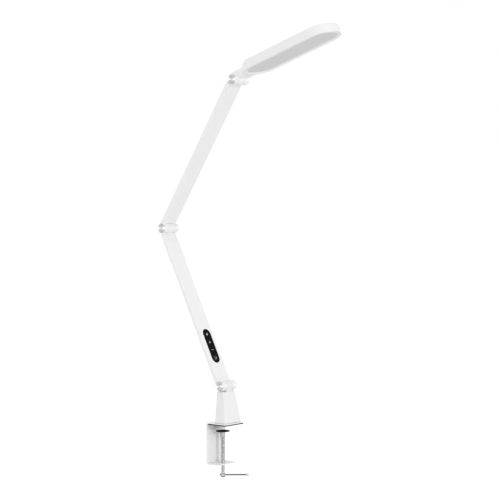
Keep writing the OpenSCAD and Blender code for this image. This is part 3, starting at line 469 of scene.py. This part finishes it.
def ring_uv(mesh, pivot):
    """The map called rings. u runs from a cap's middle over its rim and down its
    skirt, in tenths of a metre, and v once round it. A face that crosses the seam
    takes v past 1, and a corner in the middle takes the mean v of its face."""
    spot = np.zeros(len(mesh.vertices) * 3)
    mesh.vertices.foreach_get("co", spot)
    corner = np.zeros(len(mesh.loops), int)
    mesh.loops.foreach_get("vertex_index", corner)
    count = np.zeros(len(mesh.polygons), int)
    mesh.polygons.foreach_get("loop_total", count)
    face_of = np.repeat(np.arange(len(count)), count)
    off = spot.reshape(-1, 3)[corner] - pivot
    below = 0.001 * (hinge_half + cap_rise) - np.abs(off[:, 1])
    outward = (np.hypot(off[:, 0], off[:, 2]) + below) * 100
    once_round = np.arctan2(off[:, 2], off[:, 0]) / (2 * np.pi) + 0.5
    in_middle = outward <= 1e-3
    high, total, on_ring = np.zeros((3, len(count)))
    np.maximum.at(high, face_of, np.where(in_middle, 0.0, once_round))
    once_round = np.where((high[face_of] > 0.75) & (once_round < 0.25), once_round + 1.0, once_round)
    np.add.at(total, face_of, np.where(in_middle, 0.0, once_round))
    np.add.at(on_ring, face_of, np.where(in_middle, 0.0, 1.0))
    once_round = np.where(in_middle, total[face_of] / np.maximum(on_ring[face_of], 1), once_round)
    marks = mesh.uv_layers.new(name="rings")
    marks.data.foreach_set("uv", np.stack([outward, once_round], axis=1).ravel())


def spun_caps(name, pivot, body, node):
    """Two caps, one at each end of a hinge. Each is a disc whose rim falls away in
    a quarter round and whose skirt goes into the knuckle's recess."""
    skirt_outer, skirt_inner, skirt_depth = 8.07, 7.1, -1.2
    bend = np.linspace(0, np.pi / 2, 6)
    flat = np.linspace(0, cap_radius - 0.45, 14)
    rim_r = cap_radius - cap_round + cap_round * np.sin(bend)
    rim_z = cap_rise - cap_round + cap_round * np.cos(bend)
    skirt_r = [cap_radius, skirt_outer, skirt_outer, skirt_inner, skirt_inner, 0.0]
    r = np.concatenate([flat, rim_r, skirt_r])
    skirt_z = [0.02, 0.0, skirt_depth, skirt_depth, 0.0, 0.0]
    h = np.concatenate([np.full(len(flat), cap_rise), rim_z, skirt_z])
    side = turned(r, h, columns=96)
    pair = [placed(side, pivot + 0.001 * hinge_half * way * Y, X, way * Z, way * Y) for way in (-1, 1)]
    caps = skinned(name, pair, body, spun)
    ring_uv(caps.data, pivot)
    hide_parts(node)


spun_caps("foot_cap_pair", foot, "lower_arm", "foot_caps")
spun_caps("elbow_cap_pair", elbow, "upper_arm", "elbow_caps")
spun_caps("head_cap_pair", wrist, "head", "head_caps")
for hinge in ("foot", "elbow", "head"):
    dress(hinge + "_axle", zinc_plate)
    dress(hinge + "_nut", zinc_plate)
    dress(hinge + "_washers", nylon)

# ---- Arms ----
# Two flat tapered tubes of aluminium with die-cast fittings plugged into their
# ends, all painted the same satin white. Countersunk screws hold them from behind.
satin_paint = grained("white_satin_paint", [(0.900, 0.900, 0.898), (0.915, 0.915, 0.913)],
                      patch=0.08, roughness=0.36, grain=700.0, dent=8e-6)
for node in ("lower_arm_tube", "lower_foot_fork", "lower_elbow_knuckle"):
    dress(node, satin_paint)
for node in ("upper_arm_tube", "upper_elbow_fork", "upper_head_knuckle"):
    dress(node, satin_paint)

arm_back = -10.1
arm_screw = cross_head_screw(head=3.0, shank=1.5, length=5.9)
lower_along = (elbow - foot) / np.linalg.norm(elbow - foot)
upper_along = (wrist - elbow) / np.linalg.norm(wrist - elbow)
lower_out, upper_out = np.cross(Y, lower_along), np.cross(Y, upper_along)


def along_arm(origin, out, along, places):
    """Screws whose tops lie in an arm's rear face at (distance, offset) in mm."""
    tops = [origin + 0.001 * (arm_back * out + s * along + y * Y) for s, y in places]
    return [placed(arm_screw, top, Y, along, out) for top in tops]


lower_places = [(29, -9.844), (29, 9.844), (307, -9.09), (307, 9.09)]
upper_places = [(38, -9.09), (38, 9.09), (316, -9.844), (316, 9.844)]
lower_set = along_arm(foot, lower_out, lower_along, lower_places)
upper_set = along_arm(elbow, upper_out, upper_along, upper_places)
lower_screws = skinned("lower_screws", lower_set, "lower_arm", zinc_plate)
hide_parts("lower_arm_screws")
upper_screws = skinned("upper_screws", upper_set, "upper_arm", zinc_plate)
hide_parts("upper_arm_screws")

# ---- Touch panel ----
# A polished black plate set into the lower arm over its sensor board. Four signs
# are printed on it: light, brighter, dimmer and power.
black_glass = grained("black_touch_plate", [(0.006, 0.006, 0.006), (0.008, 0.008, 0.008)],
                      patch=0.02, roughness=0.14, grain=400.0, dent=1e-6, specular=0.2)
dress("touch_panel", black_glass)
board_lacquer = grained("green_board_lacquer", [(0.01, 0.10, 0.03), (0.015, 0.14, 0.045)],
                        patch=0.01, roughness=0.35, grain=1200.0, dent=1e-5)
dress("touch_board", board_lacquer)
sign_print = grained("white_sign_print", [(0.84, 0.84, 0.84), (0.90, 0.90, 0.90)],
                     patch=0.002, roughness=0.5, grain=3000.0, dent=2e-6)
panel_face, print_depth, print_key = -0.7, 0.03, 0.01


def ribbon(path, width, closed):
    """A flat printed line: a rectangle of that width and the print's depth, square
    to its path and carried along it. path holds (across, along) points in mm."""
    path = np.asarray(path, float)
    step = np.roll(path, -1, 0) - np.roll(path, 1, 0) if closed else np.gradient(path, axis=0)
    step /= np.linalg.norm(step, axis=1, keepdims=True)
    beside = np.stack([step[:, 1], -step[:, 0]], axis=1) * width / 2
    low, high = np.full(len(path), -print_key), np.full(len(path), print_depth)
    edges = [(low, path - beside), (low, path + beside), (high, path + beside), (high, path - beside)]
    rings = np.stack([np.column_stack(edge) for edge in edges], axis=1)
    if closed:
        return np.concatenate([rings, rings[:1]])
    middle = rings.mean(axis=1, keepdims=True).repeat(4, axis=1)
    return np.concatenate([middle[:1], rings, middle[-1:]])


def sign(name, centre, lines):
    """A printed sign whose middle is that many mm up the arm from the foot hinge."""
    origin = foot + 0.001 * (panel_face * lower_out + centre * lower_along)
    grids = [placed(ribbon(*line), origin, lower_out, Y, lower_along) for line in lines]
    skinned(name, grids, "lower_arm", sign_print)


def arc(radius, start, end, steps=40):
    """Points on a circle from one angle to another, in degrees from across."""
    angle = np.radians(np.linspace(start, end, steps))
    return np.stack([radius * np.cos(angle), radius * np.sin(angle)], axis=1)


sign_half, disc_line, thin_line, plus_line, minus_line = 2.6, 1.38, 0.45, 0.55, 0.6
sun_disc = (arc(disc_line / 2 + 0.01, 0, 351), disc_line, True)
sun_rays = [(np.outer([1.9, 2.8], [np.cos(a), np.sin(a)]), thin_line, False)
            for a in np.arange(8) * np.pi / 4]
plus_bar = ([(-sign_half, 0), (sign_half, 0)], plus_line, False)
plus_posts = [([(0, -sign_half), (0, -plus_line / 2)], plus_line, False),
              ([(0, plus_line / 2), (0, sign_half)], plus_line, False)]
minus_bar = ([(-sign_half, 0), (sign_half, 0)], minus_line, False)
power_ring = (arc(sign_half, 122, 418), thin_line, False)
power_stroke = ([(0, 1.9), (0, 3.4)], thin_line, False)
sign("light_sign", centre=110.7, lines=[sun_disc] + sun_rays)
sign("brighter_sign", centre=93.6, lines=[plus_bar] + plus_posts)
sign("dimmer_sign", centre=77.3, lines=[minus_bar])
sign("power_sign", centre=60.3, lines=[power_ring, power_stroke])

# ---- Neck ----
# Die-cast fork of the head hinge, painted as the arms are, with a flat tenon
# that goes through the head's wall and is screwed to posts inside it.
dress("head_neck", satin_paint)
dress("neck_screws", zinc_plate)

# ---- Head ----
# A long shell with round ends, moulded in white plastic, and a frame of the same
# plastic that snaps into it from below and carries the light window.
moulded_white = grained("white_moulded_plastic", [(0.902, 0.902, 0.900), (0.917, 0.917, 0.915)],
                        patch=0.05, roughness=0.46, grain=1500.0, dent=1.2e-5)
dress("head_shell", moulded_white)
dress("head_frame", moulded_white)

# ---- Light window ----
# A 2 mm sheet of milky acrylic with a fine prismatic skin, which turns the dots
# of the diodes into an even field. It is grey while the lamp is off.
milky = bpy.data.materials.new("milky_acrylic")
milky.use_nodes = True
tree = milky.node_tree
skin = tree.nodes["Principled BSDF"]
skin.inputs["Specular IOR Level"].default_value = 0.3
skin.inputs["Roughness"].default_value = 0.42
where = shader(tree, "ShaderNodeTexCoord")
cloud = shader(tree, "ShaderNodeTexNoise", Scale=12.0)
tint = shader(tree, "ShaderNodeValToRGB")
tint.color_ramp.elements[0].color = (0.695, 0.695, 0.70, 1)
tint.color_ramp.elements[1].color = (0.725, 0.725, 0.73, 1)
prism = shader(tree, "ShaderNodeTexVoronoi", Scale=1100.0)
facet = shader(tree, "ShaderNodeBump", Distance=4e-5)
tree.links.new(where.outputs["Object"], cloud.inputs["Vector"])
tree.links.new(where.outputs["Object"], prism.inputs["Vector"])
tree.links.new(cloud.outputs["Fac"], tint.inputs["Fac"])
tree.links.new(prism.outputs["Distance"], facet.inputs["Height"])
tree.links.new(tint.outputs["Color"], skin.inputs["Base Color"])
tree.links.new(facet.outputs["Normal"], skin.inputs["Normal"])
dress("diffuser", milky)

# ---- LED board ----
# Aluminium board with white solder mask in the roof of the head, three rows of
# white diodes with yellow phosphor, and six small screws.
white_mask = grained("white_solder_mask", [(0.82, 0.82, 0.80), (0.86, 0.86, 0.84)],
                     patch=0.02, roughness=0.3, grain=800.0, dent=5e-6)
phosphor = grained("yellow_phosphor", [(0.80, 0.62, 0.12), (0.85, 0.70, 0.18)],
                   patch=0.002, roughness=0.35, grain=3000.0, dent=5e-6)
dress("led_board", white_mask)
dress("led_chips", phosphor)
dress("board_screws", zinc_plate)

# ---- Wires ----
# Thin twin leads in white PVC, from the inlet up the column, along the arms and
# through the neck to the LED board.
white_sleeve = grained("white_wire_sleeve", [(0.80, 0.80, 0.79), (0.84, 0.84, 0.83)],
                       patch=0.02, roughness=0.4, grain=1500.0, dent=1e-5)
for node in ("column_wire", "lower_arm_wire", "upper_arm_wire", "head_wire"):
    dress(node, white_sleeve)
